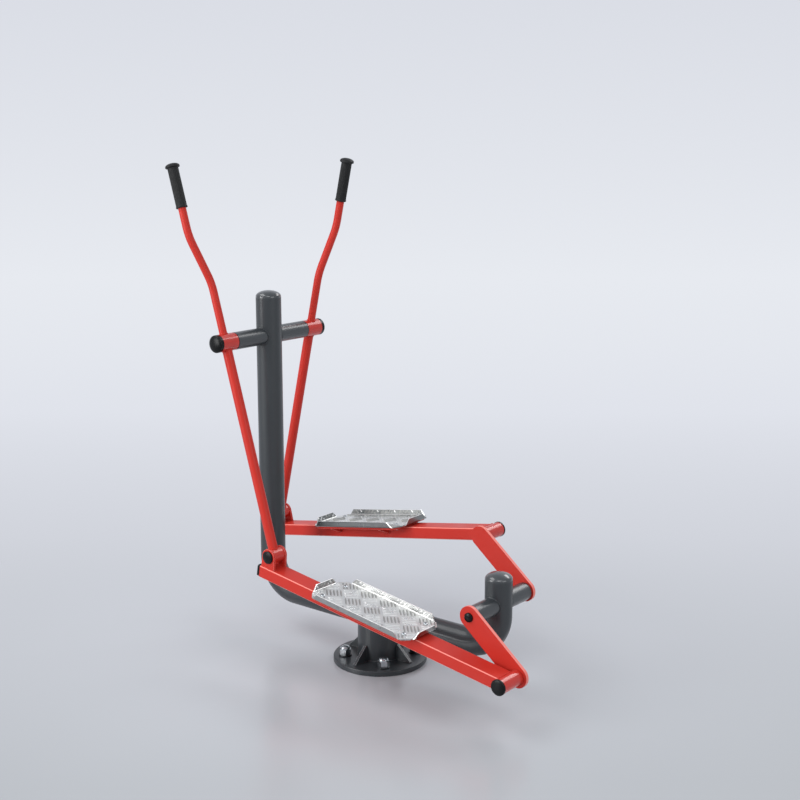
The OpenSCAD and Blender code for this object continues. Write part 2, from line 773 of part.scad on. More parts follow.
base_flange();
flange_ribs();
pedestal_tube();
pedestal_cap();
bottom_tube();
tube_elbows();
column_tube();
rear_post();
tube_caps();
handle_axle_tube();
handle_spindle();
spindle_nuts();
crank_axle_tube();
crank_bearings();
anchor_washers();
anchor_nuts();
hub_sleeve(left);  // hub_sleeve_left
hub_bearings(left);  // hub_bearings_left
hub_cap(left);  // hub_cap_left
lever_tube(left);  // lever_tube_left
handle_tube(left);  // handle_tube_left
grip(left);  // grip_left
foot_sleeve(left);  // foot_sleeve_left
foot_bearings(left);  // foot_bearings_left
hub_sleeve(right);  // hub_sleeve_right
hub_bearings(right);  // hub_bearings_right
hub_cap(right);  // hub_cap_right
lever_tube(right);  // lever_tube_right
handle_tube(right);  // handle_tube_right
grip(right);  // grip_right
foot_sleeve(right);  // foot_sleeve_right
foot_bearings(right);  // foot_bearings_right
pedal_beam(left);  // pedal_beam_left
beam_end_plug(left);  // beam_end_plug_left
clevis_ears(left);  // clevis_ears_left
clevis_pin(left);  // clevis_pin_left
clevis_caps(left);  // clevis_caps_left
plate_carrier(left);  // plate_carrier_left
foot_plate(left);  // foot_plate_left
plate_screws(left);  // plate_screws_left
rear_bush(left);  // rear_bush_left
rear_bearings(left);  // rear_bearings_left
crank_pin(left);  // crank_pin_left
rear_bush_cap(left);  // rear_bush_cap_left
pedal_beam(right);  // pedal_beam_right
beam_end_plug(right);  // beam_end_plug_right
clevis_ears(right);  // clevis_ears_right
clevis_pin(right);  // clevis_pin_right
clevis_caps(right);  // clevis_caps_right
plate_carrier(right);  // plate_carrier_right
foot_plate(right);  // foot_plate_right
plate_screws(right);  // plate_screws_right
rear_bush(right);  // rear_bush_right
rear_bearings(right);  // rear_bearings_right
crank_pin(right);  // crank_pin_right
rear_bush_cap(right);  // rear_bush_cap_right
crank_axle();
crank_arms();
crank_axle_caps();
crank_pin_roots();
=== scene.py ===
import json
import math

import bmesh
import bpy
from mathutils import Matrix, Vector


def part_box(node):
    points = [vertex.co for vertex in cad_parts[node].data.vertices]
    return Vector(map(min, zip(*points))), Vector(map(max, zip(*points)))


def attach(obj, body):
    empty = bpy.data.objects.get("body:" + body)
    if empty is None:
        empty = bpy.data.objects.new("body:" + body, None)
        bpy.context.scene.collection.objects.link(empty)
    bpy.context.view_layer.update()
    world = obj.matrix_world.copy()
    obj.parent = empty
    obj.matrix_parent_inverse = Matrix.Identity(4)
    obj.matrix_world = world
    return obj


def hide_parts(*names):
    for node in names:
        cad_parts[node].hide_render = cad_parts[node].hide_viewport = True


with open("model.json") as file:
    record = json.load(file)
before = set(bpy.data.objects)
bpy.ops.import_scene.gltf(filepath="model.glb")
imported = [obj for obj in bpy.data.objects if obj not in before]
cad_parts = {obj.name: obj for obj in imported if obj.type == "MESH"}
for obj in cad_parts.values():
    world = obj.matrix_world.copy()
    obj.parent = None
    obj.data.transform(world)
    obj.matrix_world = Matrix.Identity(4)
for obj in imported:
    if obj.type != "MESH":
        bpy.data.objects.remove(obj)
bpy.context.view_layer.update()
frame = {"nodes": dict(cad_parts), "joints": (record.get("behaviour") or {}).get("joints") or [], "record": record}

# Sizes in metres and radians, in the frame's own axes. What the frame states is read from it.
SIDES = {"left": -1, "right": 1}
PIN_DROP = 0.061
TUBE_R = 0.04445
PEDESTAL_R = 0.0762
TUBE_Z = 0.157
PEDESTAL_TOP = 0.175
PEDESTAL_CAP_T = 0.006
FLANGE_T = 0.018
RIB_REACH = 0.059
RIB_H = 0.053
RIB_T = 0.010
CROSS_R = 0.03015
LEVER_R = 0.01685
HANDLE_R = 0.0135
FOOT_R = 0.0255
BUSH_R = 0.02415
BEAM_W = 0.072
BEAM_H = 0.042
EAR_OUT = 0.0315
EAR_T = 0.008
EAR_R = 0.028
EAR_FLARE = 0.003
GRIP_TOP = 0.622
GRIP_LEN = 0.153
HANDLE_OUT = 0.0545
PLATE_X = 0.4455
PLATE_L = 0.425
PLATE_W = 0.194
PLATE_T = 0.004
CARRIER_T = 0.008
CORNER_L = 0.031
CORNER_W = 0.037
LIP_H = 0.022
LIP_RUN = 0.025
LIP_LEAN = math.radians(10)
FOLD_R = 0.003
FOLD_BACK = 0.0059
SCREW_L = 0.340
SCREW_W = 0.112
ANCHOR_PCD = 0.240
WASHER_T = 0.004

# Heights above a beam's front pin, square to the beam
BEAM_TOP = -PIN_DROP + BEAM_H / 2
PLATE_Z = BEAM_TOP + CARRIER_T

QUARTER = math.pi / 2

# Where the photograph was taken from
CAMERA_AT = Vector((2.8273, -3.4211, 1.8247))
CAMERA_TO = Vector((0.087346, 0.0, 0.918307))
LENS = 61.708
SENSOR = 36
SEES_TO = 100

joints = {j["name"]: j for j in frame["joints"]}
hub = Vector(joints["lever_left_swing"]["pos_m"])
crank = Vector(joints["crank_spin"]["pos_m"])


def centre(node):
    low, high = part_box(node)
    return (low + high) / 2


def pin_of(side):
    return Vector(joints[f"beam_{side}_pivot"]["pos_m"])


LANE = abs(pin_of("left").y)
LEVER_L = (pin_of("left") - Vector((hub.x, pin_of("left").y, hub.z))).length


def placed(origin, x_dir, side):
    """A piece's own frame: x along x_dir, y outward on that side, z square to both."""
    x = x_dir.normalized()
    z = Vector((-x.z, 0, x.x))
    y = Vector((0, SIDES[side], 0))
    m = Matrix.Identity(4)
    for row in range(3):
        m[row][0], m[row][1], m[row][2], m[row][3] = x[row], y[row], z[row], origin[row]
    return m


def beam_frame(side):
    """A beam's own frame, with its origin in the front pin, and the distance between its pins."""
    low, rear = pin_of(side), centre(f"crank_pin_{side}")
    run = Vector((rear.x - low.x, 0, rear.z - low.z))
    pitch = math.atan2(run.z, run.x) + math.asin(PIN_DROP / run.length)
    return placed(low, Vector((math.cos(pitch), 0, math.sin(pitch))), side), run.length


def lever_frame(side):
    """A lever's own frame, with its origin on the hub's axis and z up the lever."""
    low = pin_of(side)
    up = Vector((hub.x - low.x, 0, hub.z - low.z)).normalized()
    return placed(Vector((hub.x, SIDES[side] * LANE, hub.z)), Vector((up.z, 0, -up.x)), side)


# Materials

BROAD_DETAIL, FINE_DETAIL = 4, 3
PATCHES = (0.3, 0.7)  # values of the broad noise at which the roughness is least and most
RELIEF = 0.001
BEVEL_SAMPLES = 6
EDGE_TURN = (0.995, 0.90)  # cosines at which an edge's painted highlight begins and is full
FOLD_UP = (0.6, 0.8)  # upward parts of the normal at which a fold's or cut edge's painted highlight begins and is full
FOLD_HEIGHT = (0.0043, 0.0048)  # heights above a plate's underside at which it begins and is full
LIP_UP = (0.55, 0.35)  # the same parts of the normal for the painted shade on the lips' faces
FOLD_HIGHLIGHT_METALLIC = 0.25
FOLD_HIGHLIGHT_WHITE = [1.0, 1.0, 1.0, 1.0]


def srgb(r, g, b):
    """A colour as it is written for the screen, in the linear values that Blender takes."""
    return [((c / 255 + 0.055) / 1.055) ** 2.4 if c > 10 else c / 255 / 12.92 for c in (r, g, b)] + [1.0]


class Nodes:
    """The node tree of a material or world."""

    def __init__(self, owner):
        owner.use_nodes = True
        self.nodes, self.links = owner.node_tree.nodes, owner.node_tree.links

    def fill(self, node, inputs):
        """Links each input to a socket, or sets it to a plain value, and gives the outputs."""
        for name, value in inputs.items():
            if isinstance(value, bpy.types.NodeSocket):
                self.links.new(value, node.inputs[name])
            else:
                node.inputs[name].default_value = value
        return node.outputs

    def add(self, kind, inputs=None, **settings):
        """Makes a node and gives its outputs."""
        node = self.nodes.new(kind)
        for name, value in settings.items():
            setattr(node, name, value)
        return self.fill(node, inputs or {})

    def scalar(self, operation, *values):
        return self.add("ShaderNodeMath", dict(enumerate(values)), operation=operation)["Value"]

    def vector(self, operation, *values, result="Value"):
        return self.add("ShaderNodeVectorMath", dict(enumerate(values)), operation=operation)[result]

    def ramp(self, value, low, high, to_low=0.0, to_high=1.0, **settings):
        """Goes from to_low to to_high as a value goes from low to high."""
        return self.add("ShaderNodeMapRange", {"Value": value, "From Min": low, "From Max": high,
                                               "To Min": to_low, "To Max": to_high}, **settings)["Result"]

    def noise(self, at, scale, detail):
        return self.add("ShaderNodeTexNoise", {"Vector": at, "Scale": scale, "Detail": detail})["Fac"]

    def mix(self, amount, colour, other):
        return self.add("ShaderNodeMixRGB", {"Fac": amount, "Color1": colour, "Color2": other})["Color"]

    def mix_shaders(self, amount, first, second):
        return self.add("ShaderNodeMixShader", {"Fac": amount, 1: first, 2: second})["Shader"]

    def seen_rays(self):
        """1 for the camera's rays and for those in mirror-like and clear surfaces."""
        ray = self.add("ShaderNodeLightPath")
        seen = ray["Is Camera Ray"]
        for other in ("Is Glossy Ray", "Is Transmission Ray"):
            seen = self.scalar("MAXIMUM", seen, ray[other])
        return seen


def material(name, color, roughness, metallic=0.0, vary=0.06, grain=260.0, bump=0.04, rough_vary=0.06,
             patch=9.0, coat=0.0, coat_rough=0.1, ior=1.5, edge=None, corner=None, cut=None):
    """A finish whose colour, roughness and surface follow two scales of noise.

    edge holds the tone of a painted highlight along sharp edges, and the radius of those edges.
    corner holds the tone of a painted highlight and where it shows: the squared sideways part of the
    normal, and how far from it the highlight begins and is full.
    cut holds a plate's upward direction, the height of its underside and the painted shade of its lips'
    faces; its folds and the cut edges of its lips get a painted white highlight."""
    m = bpy.data.materials.new(name)
    tree = Nodes(m)
    place = tree.add("ShaderNodeTexCoord")
    broad = tree.noise(place["Object"], patch, BROAD_DETAIL)
    fine = tree.noise(place["Object"], grain, FINE_DETAIL)
    relief = {"Strength": bump, "Distance": RELIEF, "Height": fine}
    dark, light = ([min(1, c * (1 + way * vary)) for c in color[:3]] + [1] for way in (-1, 1))
    colour = tree.mix(broad, dark, light)
    # Painted highlight: a lighter tone where the bevelled normal turns away from the face's own normal
    if edge:
        tone, radius = edge
        rounded = tree.add("ShaderNodeBevel", {"Radius": radius}, samples=BEVEL_SAMPLES)["Normal"]
        same = tree.vector("DOT_PRODUCT", rounded, tree.add("ShaderNodeNewGeometry")["Normal"])
        colour = tree.mix(tree.ramp(same, *EDGE_TURN), colour, tone)
        relief["Normal"] = rounded
    # Painted highlight: a lighter tone on rounded corners, where the normal's squared sideways part is near the
    # given middle
    if corner:
        tone, middle, begins, full = corner
        squared = tree.vector("MULTIPLY", place["Normal"], place["Normal"], result="Vector")
        sideways = tree.add("ShaderNodeSeparateXYZ", {"Vector": squared})["Y"]
        away = tree.scalar("ABSOLUTE", tree.scalar("SUBTRACT", sideways, middle))
        colour = tree.mix(tree.ramp(away, begins, full), colour, tone)
    if cut:
        up, underside, tone = cut
        faces_up = tree.vector("DOT_PRODUCT", place["Normal"], up)
        height = tree.vector("DOT_PRODUCT", place["Object"], up)
        # Painted shade: a darker tone on the lips' faces, set per plate
        colour = tree.mix(tree.ramp(faces_up, *LIP_UP), colour, tone)
        # Painted highlight: white along the folds and the lips' cut edges
        bright = tree.scalar("MULTIPLY", tree.ramp(faces_up, *FOLD_UP),
                             tree.ramp(height, *(underside + h for h in FOLD_HEIGHT)))
        colour = tree.mix(bright, colour, FOLD_HIGHLIGHT_WHITE)
        # Less metallic under the painted highlight, so its white shows instead of mirroring the room
        metallic = tree.ramp(bright, 0.0, 1.0, metallic, FOLD_HIGHLIGHT_METALLIC)
    tree.fill(tree.nodes["Principled BSDF"], {
        "Base Color": colour, "Metallic": metallic, "IOR": ior,
        "Coat Weight": coat, "Coat Roughness": coat_rough,
        "Roughness": tree.ramp(broad, *PATCHES, roughness - rough_vary, roughness + rough_vary),
        "Normal": tree.add("ShaderNodeBump", relief)["Normal"]})
    return m


# Tone of the painted highlight on red edges and corners
EDGE_HIGHLIGHT_RED = srgb(252, 148, 137)
COATED = dict(color=srgb(45, 50, 54), roughness=0.46, vary=0.05, grain=420, bump=0.05,
              coat=0.3, coat_rough=0.13)
RED_COATED = dict(color=srgb(203, 53, 43), roughness=0.40, vary=0.04, grain=420, bump=0.05,
                  coat=0.05, coat_rough=0.2, ior=1.28)
BARE = dict(metallic=1.0, bump=0.06)
ROLLED = dict(metallic=1.0, vary=0.06, grain=300, bump=0.10, rough_vary=0.07, patch=40)
CHEQUER = dict(color=srgb(217, 217, 215), roughness=0.32) | ROLLED
looks = {
    "frame_coat": material("frame_coat", **COATED),
    "red_coat": material("red_coat", **RED_COATED),
    "black_plastic": material("black_plastic", srgb(11, 12, 13), 0.30, vary=0.15, grain=900, bump=0.12,
                              ior=1.3),
    "grip_rubber": material("grip_rubber", srgb(15, 16, 17), 0.55, vary=0.12, grain=700, bump=0.2,
                            ior=1.4),
    "zinc": material("zinc", srgb(186, 190, 193), 0.18, vary=0.08, grain=600, **BARE),
    "steel": material("steel", srgb(150, 154, 158), 0.30, metallic=1.0, vary=0.05, bump=0.04),
    "chequer": material("chequer", **CHEQUER),
}
# Lit and shaded copies of the tread metal: painted shade on the bars that run back and outward, painted light on
# those that cross them
tread_lit_and_shaded = {-1: material("tread_dark", srgb(164, 164, 161), 0.36, **ROLLED),
        1: material("tread_light", srgb(228, 228, 226), 0.30, **ROLLED)}

# Finishes of single nodes: painted highlights on edges and on the beams' and arms' corners, smoother sleeves,
# cross tubes and caps, darker washers
flange_coat = material("frame_coat_edge", edge=(srgb(124, 130, 136), 0.0022), **COATED)
cross_coat = material("frame_coat_cross", **(COATED | dict(coat=0.8, coat_rough=0.27)))
ear_coat = material("red_coat_edge", edge=(EDGE_HIGHLIGHT_RED, 0.003), **RED_COATED)
sleeve_coat = material("red_coat_sleeve", **(RED_COATED | dict(coat=0.7, coat_rough=0.16)))
special = {
    "base_flange": flange_coat,
    "pedestal_cap": flange_coat,
    "flange_ribs": material("frame_coat_rib", edge=(srgb(168, 174, 180), 0.003), **COATED),
    "handle_axle_tube": cross_coat,
    "crank_axle_tube": cross_coat,
    "tube_caps": material("frame_coat_cap", **(COATED | dict(roughness=0.42, coat=1.0, coat_rough=0.05))),
    "anchor_washers": material("washer_steel", srgb(84, 86, 88), 0.34, vary=0.08, **BARE),
    "crank_arms": material("red_coat_arm", corner=(srgb(250, 136, 126), 0.0, 0.75, 0.3), **RED_COATED),
    "pedal_beam": material("red_coat_beam", corner=(EDGE_HIGHLIGHT_RED, 0.5, 0.40, 0.22), **RED_COATED),
    "clevis_ears": ear_coat,
    "plate_carrier": ear_coat,
    "hub_sleeve": sleeve_coat,
    "foot_sleeve": sleeve_coat,
    "rear_bush_left": sleeve_coat,
    "rear_bush_right": sleeve_coat,
}
# Painted shade on the lips' faces, darker on the right plate than on the left
LIP_SHADE_TONES = {"left": srgb(170, 171, 170), "right": srgb(146, 148, 147)}
for side in SIDES:
    matrix, _ = beam_frame(side)
    up = matrix.to_3x3().col[2]
    underside = up.dot(matrix.translation) + PLATE_Z
    special[f"foot_plate_{side}"] = material(
        f"chequer_{side}", cut=(up, underside, LIP_SHADE_TONES[side]), **CHEQUER)

# Softened edges of the CAD's own pieces
WELD_WITHIN = 1e-6
EDGE_WIDTH = 0.0008
EDGE_STEPS = 3
PLATE_EDGE_WIDTH = EDGE_WIDTH * 0.6
WIDE_EDGES = {"crank_arms": 0.0022, "base_flange": 0.0016, "pedestal_cap": 0.0014}
SOFT_EDGES = ("pedal_beam", "clevis_ears", "crank_arms", "base_flange", "flange_ribs", "anchor_washers",
              "pedestal_cap", "plate_carrier", "beam_end_plug", "foot_plate")
SOFT_ANGLE = math.radians(40)
SPLIT_ANGLE = math.radians(34)
record_slots = {s["node"]: s["material_slot"] for s in frame["record"]["subparts"]}
for name, node in frame["nodes"].items():
    node.data.materials.clear()
    own = [look for start, look in special.items() if name.startswith(start)]
    node.data.materials.append(own[0] if own else looks[record_slots[name]])
    if "custom_normal" in node.data.attributes:
        node.data.attributes.remove(node.data.attributes["custom_normal"])
    weld = node.modifiers.new("weld", "WELD")
    weld.merge_threshold = WELD_WITHIN
    soft = name.startswith(SOFT_EDGES)
    if soft:
        edge = node.modifiers.new("edges", "BEVEL")
        usual = PLATE_EDGE_WIDTH if name.startswith("foot_plate") else EDGE_WIDTH
        edge.width = WIDE_EDGES.get(name, usual)
        edge.segments = EDGE_STEPS
        edge.limit_method = "ANGLE"
        edge.angle_limit = SOFT_ANGLE
    split = node.modifiers.new("split", "EDGE_SPLIT")
    split.split_angle = SPLIT_ANGLE
    if soft:
        flat = node.modifiers.new("flat", "WEIGHTED_NORMAL")
        flat.keep_sharp = True
    node.data.shade_smooth()

# Mesh helpers


def piece(name, bm, look, body, matrix=None, replaces=(), sharp=35, finish=None):
    """Turns a bmesh into a shown piece that rides on a body."""
    if matrix is not None:
        bm.transform(matrix)
        if matrix.determinant() < 0:
            bmesh.ops.reverse_faces(bm, faces=bm.faces)
    mesh = bpy.data.meshes.new(name)
    bm.to_mesh(mesh)
    bm.free()
    mesh.shade_smooth()
    mesh.set_sharp_from_angle(angle=math.radians(sharp))
    mesh.materials.append(finish or looks[look])
    obj = bpy.data.objects.new(name, mesh)
    bpy.context.scene.collection.objects.link(obj)
    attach(obj, body)
    if replaces:
        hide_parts(*replaces)


def skin(bm, rings, looped=False):
    """Joins rings of points into a surface that is closed at its ends, or looped."""
    rows = [[bm.verts.new(p) for p in ring] for ring in rings]
    count = len(rows[0])
    for a, b in zip(rows, rows[1:] + (rows[:1] if looped else [])):
        for i in range(count):
            j = (i + 1) % count
            bm.faces.new((a[i], a[j], b[j], b[i]))
    if not looped:
        bm.faces.new(list(reversed(rows[0])))
        bm.faces.new(rows[-1])


def arc(count, start=0.0, stop=2 * math.pi):
    """Angles from start in equal steps, stop itself left out."""
    return [start + (stop - start) * i / count for i in range(count)]


def lathe(bm, profile, at, around=48, radial=None):
    """Turns (radius, height) points round z; the first and the last are closed flat."""
    skin(bm, [[at @ Vector((q * math.cos(a), q * math.sin(a), z))
               for a, q in ((a, radial(r, a, z) if radial else r) for a in arc(around))]
              for r, z in profile])


# Welds

WELD = 0.0026
FLANGE_WELD = WELD * 1.15
BUSH_WELD = WELD * 0.9
LIGHT_WELD = WELD * 0.8
EAR_WELD = WELD * 0.75
SEAM_WELD = WELD * 0.7
SIDE_WELD = WELD * 0.6
# How far a bead's middle stands off the wall beside it
TOE = 0.0006
SMALL_TOE = 0.0002
SHEET_TOE = 0.0005
RIB_TOE = 0.0007
FLANGE_TOE = 0.0008
# How far a straight bead ends before its corner
SHORT_OF_CORNER = 0.003
EAR_SHORT = 0.002
RIPPLE = 0.0035
RIPPLE_STEPS = 3
SWELL = 0.14
BEAD_SIDES = 8
BEAD_END = 0.35  # share of the radius at the ends of a bead that isn't looped
BEAD_TAPER = 4


def bead(bm, points, radius, looped=True):
    """A weld bead: a tube along the points whose radius swells at every ripple."""
    path = [Vector(p) for p in points]
    if looped:
        path.append(path[0])
    lengths = [0.0]
    for a, b in zip(path, path[1:]):
        lengths.append(lengths[-1] + (b - a).length)
    total = lengths[-1]
    ripples = max(2, round(total / RIPPLE))
    count = ripples * RIPPLE_STEPS
    samples = []
    k = 0
    for i in range(count + (0 if looped else 1)):
        s = total * i / count
        while lengths[k + 1] < s and k < len(lengths) - 2:
            k += 1
        f = (s - lengths[k]) / max(1e-9, lengths[k + 1] - lengths[k])
        samples.append((path[k].lerp(path[k + 1], f), s))
    rings = []
    n = len(samples)
    for i, (p, s) in enumerate(samples):
        a = samples[(i - 1) % n][0] if looped or i > 0 else p
        b = samples[(i + 1) % n][0] if looped or i < n - 1 else p
        t = (b - a).normalized()
        out = t.orthogonal() if abs(t.y) > 0.9 else t.cross(Vector((0, 1, 0))).normalized()
        up = t.cross(out).normalized()
        end = 1.0 if looped else min(1.0, BEAD_END + min(i, n - 1 - i) / BEAD_TAPER)
        r = radius * end * (1 + SWELL * math.cos(2 * math.pi * s * ripples / total))
        rings.append([p + r * (math.cos(q) * out + math.sin(q) * up) for q in arc(BEAD_SIDES)])
    skin(bm, rings, looped)


def saddle(r, big_r, t):
    """How far from a big tube's axis the wall of a small tube square to it meets its wall."""
    return math.sqrt(big_r ** 2 - (r * math.cos(t)) ** 2)


SEAM_GAP = 0.002
RIBS = 4
RIB_WALL = PEDESTAL_R + RIB_TOE
RIB_SIDE = RIB_T / 2 + SHEET_TOE
RIB_FOOT = 0.004
RIB_LINES = (((RIB_WALL, RIB_H - 0.001), (RIB_WALL, RIB_FOOT)),
             ((RIB_WALL + RIB_FOOT, RIB_TOE), (RIB_WALL + RIB_REACH - 0.006, RIB_TOE)))
CAP_TOP = PEDESTAL_TOP + PEDESTAL_CAP_T
bm = bmesh.new()
for s in SIDES.values():
    for axis in (hub, crank):
        bead(bm, [(axis.x + (CROSS_R + TOE) * math.cos(t), s * (saddle(CROSS_R, TUBE_R, t) + TOE),
                   axis.z + (CROSS_R + TOE) * math.sin(t)) for t in arc(64)], WELD)
bead(bm, [((PEDESTAL_R + FLANGE_TOE) * math.cos(t), (PEDESTAL_R + FLANGE_TOE) * math.sin(t),
           FLANGE_T + FLANGE_TOE) for t in arc(96)], FLANGE_WELD)
# The post against the main tube, up to its end plate, and the seams of that plate
top_turn = math.asin((CAP_TOP - TUBE_Z) / TUBE_R)
seam = math.acos((TUBE_R + SEAM_GAP) / PEDESTAL_R)
edge_y = TUBE_R * math.cos(top_turn) + TOE
edge_x = math.sqrt(PEDESTAL_R ** 2 - edge_y ** 2) - SHORT_OF_CORNER
for s in (-1, 1):
    bead(bm, [(s * (saddle(TUBE_R, PEDESTAL_R, t) + TOE), (TUBE_R + TOE) * math.cos(t),
               TUBE_Z + (TUBE_R + TOE) * math.sin(t))
              for t in arc(60, -math.pi - top_turn, top_turn)], WELD, looped=False)
    bead(bm, [((PEDESTAL_R + SMALL_TOE) * math.sin(t), s * (PEDESTAL_R + SMALL_TOE) * math.cos(t),
               PEDESTAL_TOP) for t in arc(40, -seam, seam)], SEAM_WELD, looped=False)
    bead(bm, [(-edge_x, s * edge_y, CAP_TOP), (edge_x, s * edge_y, CAP_TOP)], WELD, looped=False)
for k in range(RIBS):
    turn = Matrix.Rotation(QUARTER * k, 3, "Z")
    for y in (-RIB_SIDE, RIB_SIDE):
        for line in RIB_LINES:
            bead(bm, [turn @ Vector((x, y, FLANGE_T + z)) for x, z in line], LIGHT_WELD, looped=False)
piece("frame_welds", bm, "frame_coat", "frame", sharp=80)

# Each weld round a lever's tube: its radius, the tube it meets, that tube's height, the way up to
# the weld and the number of points
LEVER_WELDS = ((LEVER_R, CROSS_R, 0, -1, 40), (HANDLE_R, CROSS_R, 0, 1, 36),
               (LEVER_R, FOOT_R, -LEVER_L, 1, 40))
BUSH_DX = math.sqrt(BUSH_R ** 2 - (BEAM_H / 2) ** 2)
BUSH_TOE = 0.0004
BEAM_EDGE = BEAM_W / 2 - SHORT_OF_CORNER
SIDE_STEPS = 8
for side in SIDES:
    bm = bmesh.new()
    for r, big_r, middle, way, count in LEVER_WELDS:
        bead(bm, [(r * math.cos(t), r * math.sin(t), middle + way * (saddle(r, big_r, t) + TOE))
                  for t in arc(count)], LIGHT_WELD)
    piece(f"lever_welds_{side}", bm, "red_coat", f"lever_{side}", lever_frame(side), sharp=80)

    matrix, link = beam_frame(side)
    beam_len = math.sqrt(link ** 2 - PIN_DROP ** 2)
    bm = bmesh.new()
    for s in (-1, 1):
        for y in (s * (EAR_OUT + SHEET_TOE), s * (EAR_OUT - EAR_T - SHEET_TOE)):
            bead(bm, [(x, y, BEAM_TOP + TOE) for x in (EAR_SHORT - EAR_R, EAR_R + EAR_FLARE - EAR_SHORT)],
                 EAR_WELD, looped=False)
        # The beam's top or bottom against the bush
        x, z = beam_len - BUSH_DX - BUSH_TOE, -PIN_DROP + s * (BEAM_H / 2 + SMALL_TOE)
        bead(bm, [(x, -BEAM_EDGE, z), (x, BEAM_EDGE, z)], BUSH_WELD, looped=False)
    for y in (-BEAM_W / 2 - SMALL_TOE, BEAM_W / 2 + SMALL_TOE):
        bead(bm, [(beam_len - math.sqrt(BUSH_R ** 2 - z * z), y, -PIN_DROP + z)
                  for z in (BEAM_H / 2 * (1 - i / SIDE_STEPS) for i in range(2 * SIDE_STEPS + 1))],
             SIDE_WELD, looped=False)
    piece(f"beam_welds_{side}", bm, "red_coat", f"beam_{side}", matrix, sharp=80)

# Foot plates: a tread in groups of five bars, which runs on up the lips as on rolled sheet

TREAD_PITCH = 0.0815  # between groups of the same direction
TREAD_X, TREAD_Y = 0.0027, 0.0115  # the middle group's place
TREAD_REACH = 8  # half pitches that are gone through each way
TREAD_PAST = 0.05  # how far past the plate a group's middle may lie
GROUP = range(-2, 3)
BAR_PITCH = 0.0114
BAR_L = 0.046
BAR_W = 0.0062
BAR_H = 0.0014
BAR_SUNK = 0.0002
BAR_ROOM = 0.0016  # kept free at the ends of a flat part
BAR_STEPS = 46
BAR_LEAST = BAR_W * 0.8  # no shorter bar is made
BAR_RINGS = 5
BAR_POINTS = 16
BAR_CROWN = 0.86  # how far its top narrows towards a ridge
BAR_ROUND = BAR_W * 0.3
BAR_SQUARE_X, BAR_SQUARE_Y = 0.8, 0.75

FLOOR_X = PLATE_L / 2 - FOLD_BACK
FLOOR_Y = PLATE_W / 2 - FOLD_BACK
LIP_X = PLATE_L / 2 - CORNER_L
LIP_Y = PLATE_W / 2 - CORNER_W
FOLD_TURN = math.pi / 2 - LIP_LEAN
FOLD_ARC = FOLD_R * FOLD_TURN
FOLD_OUT = FOLD_R + PLATE_T
SCREW_ROOM = 0.011
CORNER_ROOM = 40  # how much of a cut corner the bars leave free, per metre of inset


def lip_height(over):
    """Height above the plate's underside of a point on a lip's inner face."""
    return FOLD_OUT - FOLD_R * math.cos(FOLD_TURN) + (over - FOLD_ARC) * math.cos(LIP_LEAN)


def zone(x, y, inset):
    """The flat part of the sheet that a point of the pattern is on: floor, end lip, side lip or None."""
    over_x, over_y = abs(x) - FLOOR_X, abs(y) - FLOOR_Y
    if over_x <= -inset and over_y <= -inset:
        share = (abs(x) - LIP_X) / CORNER_L + (abs(y) - LIP_Y) / CORNER_W
        if abs(x) > LIP_X and abs(y) > LIP_Y and share > 1 - inset * CORNER_ROOM:
            return None
        near = math.hypot(abs(x) - SCREW_L / 2, abs(y) - SCREW_W / 2)
        return None if near < SCREW_ROOM else "floor"
    for over, across, half, lip in ((over_x, y, LIP_Y, "end"), (over_y, x, LIP_X, "side")):
        if over > FOLD_ARC + inset and abs(across) < half:
            share = min(1.0, (half - abs(across)) / LIP_RUN)
            if lip_height(over) < LIP_H * (1 - math.cos(math.pi * share)) / 2 - inset:
                return lip
    return None


def on_sheet(x, y, lift, where):
    """The point of the folded sheet, raised by lift from its upper side."""
    if where == "floor":
        return Vector((x, y, PLATE_T + lift))
    out, start = (x, FLOOR_X) if where == "end" else (y, FLOOR_Y)
    over = abs(out) - start
    reach = start + (FOLD_R - lift) * math.sin(FOLD_TURN) + (over - FOLD_ARC) * math.sin(LIP_LEAN)
    reach = math.copysign(reach, out)
    height = lip_height(over) + lift * math.cos(FOLD_TURN)
    return Vector((reach, y, height)) if where == "end" else Vector((x, reach, height))


def squarer(value, power):
    """A cosine or sine bent towards a rounded rectangle's."""
    return math.copysign(abs(value) ** power, value)


def tread_bar(bm, x, y, angle):
    """One raised bar, cut where the floor, a fold or a lip ends."""
    ux, uy = math.cos(angle), math.sin(angle)
    runs = []
    last = None
    for i in range(BAR_STEPS + 1):
        s = BAR_L * (i / BAR_STEPS - 0.5)
        where = zone(x + ux * s, y + uy * s, BAR_ROOM)
        if where and where == last:
            runs[-1][1] = s
        elif where:
            runs.append([s, s, where])
        last = where
    for low, high, where in runs:
        if high - low < BAR_LEAST:
            continue
        mid, half = (low + high) / 2, (high - low) / 2
        rings = []
        for k in range(BAR_RINGS):
            turn = QUARTER * k / (BAR_RINGS - 1)
            lift = BAR_H * math.sin(turn) - BAR_SUNK
            shrink = math.cos(turn * BAR_CROWN)
            ring = []
            for t in arc(BAR_POINTS):
                along = mid + squarer(math.cos(t), BAR_SQUARE_X) * (half - BAR_ROUND * (1 - shrink))
                across = squarer(math.sin(t), BAR_SQUARE_Y) * BAR_W / 2 * shrink
                ring.append(on_sheet(x + ux * along - uy * across, y + uy * along + ux * across,
                                     lift, where))
            rings.append(ring)
        skin(bm, rings)


